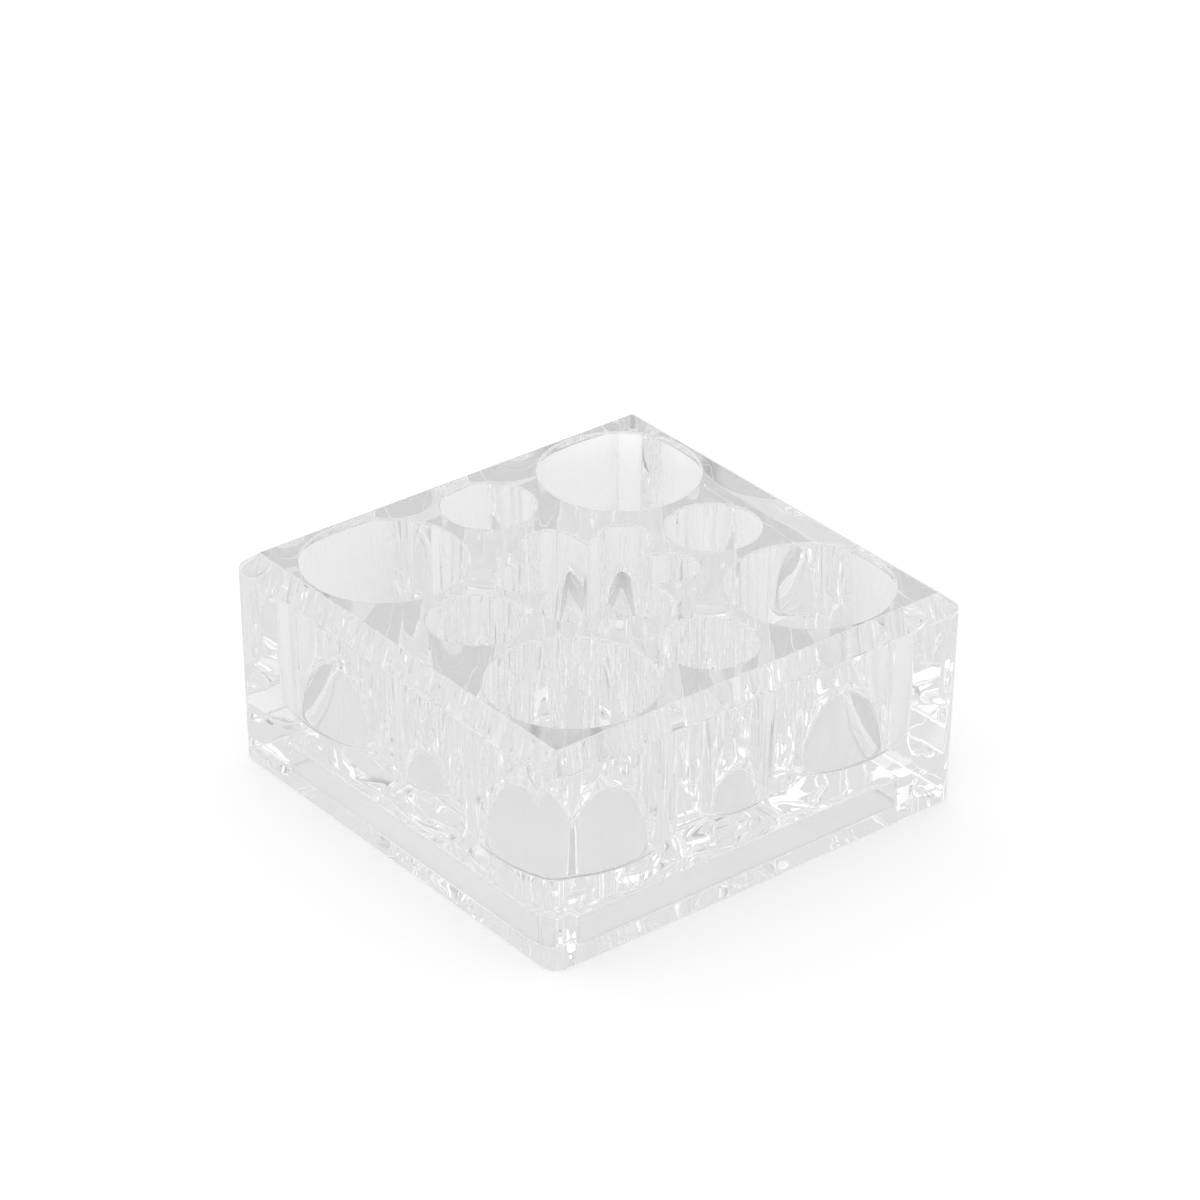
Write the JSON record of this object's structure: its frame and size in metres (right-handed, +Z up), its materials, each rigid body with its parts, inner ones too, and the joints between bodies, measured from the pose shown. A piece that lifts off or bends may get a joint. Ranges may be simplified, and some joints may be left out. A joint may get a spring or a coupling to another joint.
{
  "type": "cotton pad holder",
  "caption": "Square clear acrylic block with open round wells for cotton pads and buds round a star-shaped well, a bevelled top and a shallow recess underneath.",
  "frame": {"origin": "middle of the square footprint, on the surface that the block stands on", "axes": "+Z up, out of the compartments; +X and +Y square to the sides, with the two outer small wells on the Y axis and the two inner small wells on the X axis"},
  "size_m": [0.179, 0.179, 0.081],
  "materials": {
    "clear_acrylic": "polished, clear, uncoloured"
  },
  "bodies": {
    "root": {"block": "clear_acrylic"}
  },
  "joints": []
}
